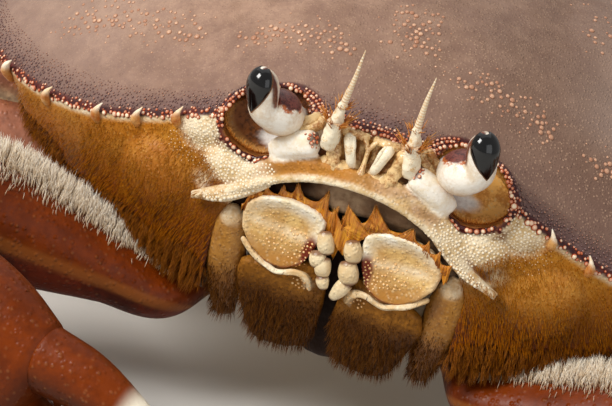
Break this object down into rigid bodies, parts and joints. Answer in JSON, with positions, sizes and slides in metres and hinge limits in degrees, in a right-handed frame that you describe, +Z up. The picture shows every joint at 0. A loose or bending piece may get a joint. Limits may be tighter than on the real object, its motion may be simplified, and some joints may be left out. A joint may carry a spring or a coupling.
{
  "type": "dungeness crab",
  "caption": "Life-size still model of a live dungeness crab standing on the floor, with a wide granulated shell, stalked eyes, folded claws and jointed walking legs.",
  "frame": {"origin": "on the floor, at the bottom centre of the model's bounding box", "axes": "+X to the crab's left, across its breadth; -Y the way it faces; +Z up from the floor"},
  "size_m": [0.314, 0.174, 0.0805],
  "materials": {
    "shell_dorsal": "satin, finely granulated",
    "shell_belly": "satin",
    "claw": "satin",
    "leg": "satin",
    "mouthpart": "satin, wet",
    "feeler": "satin",
    "eyestalk": "glossy",
    "cornea": "glossy black"
  },
  "bodies": {
    "root": {"abdomen": "shell_belly", "antenna_l": "feeler", "antenna_r": "feeler", "antennule_l": "feeler", "antennule_r": "feeler", "carapace": "shell_dorsal", "cheliped_carpus_l": "claw", "cheliped_carpus_r": "claw", "cheliped_finger_l": "claw", "cheliped_finger_r": "claw", "cheliped_merus_l": "claw", "cheliped_merus_r": "claw", "cheliped_palm_l": "claw", "cheliped_palm_r": "claw", "cornea_l": "cornea", "cornea_r": "cornea", "eyestalk_l": "eyestalk", "eyestalk_r": "eyestalk", "leg_carpus_l1": "leg", "leg_carpus_l2": "leg", "leg_carpus_l3": "leg", "leg_carpus_l4": "leg", "leg_carpus_r1": "leg", "leg_carpus_r2": "leg", "leg_carpus_r3": "leg", "leg_carpus_r4": "leg", "leg_dactylus_l1": "leg", "leg_dactylus_l2": "leg", "leg_dactylus_l3": "leg", "leg_dactylus_l4": "leg", "leg_dactylus_r1": "leg", "leg_dactylus_r2": "leg", "leg_dactylus_r3": "leg", "leg_dactylus_r4": "leg", "leg_merus_l1": "leg", "leg_merus_l2": "leg", "leg_merus_l3": "leg", "leg_merus_l4": "leg", "leg_merus_r1": "leg", "leg_merus_r2": "leg", "leg_merus_r3": "leg", "leg_merus_r4": "leg", "leg_propodus_l1": "leg", "leg_propodus_l2": "leg", "leg_propodus_l3": "leg", "leg_propodus_l4": "leg", "leg_propodus_r1": "leg", "leg_propodus_r2": "leg", "leg_propodus_r3": "leg", "leg_propodus_r4": "leg", "maxilliped_exopod_l": "mouthpart", "maxilliped_exopod_r": "mouthpart", "maxilliped_ischium_l": "mouthpart", "maxilliped_ischium_r": "mouthpart", "maxilliped_merus_l": "mouthpart", "maxilliped_merus_r": "mouthpart", "maxilliped_palp_l": "mouthpart", "maxilliped_palp_r": "mouthpart", "sternum": "shell_belly"}
  },
  "joints": []
}
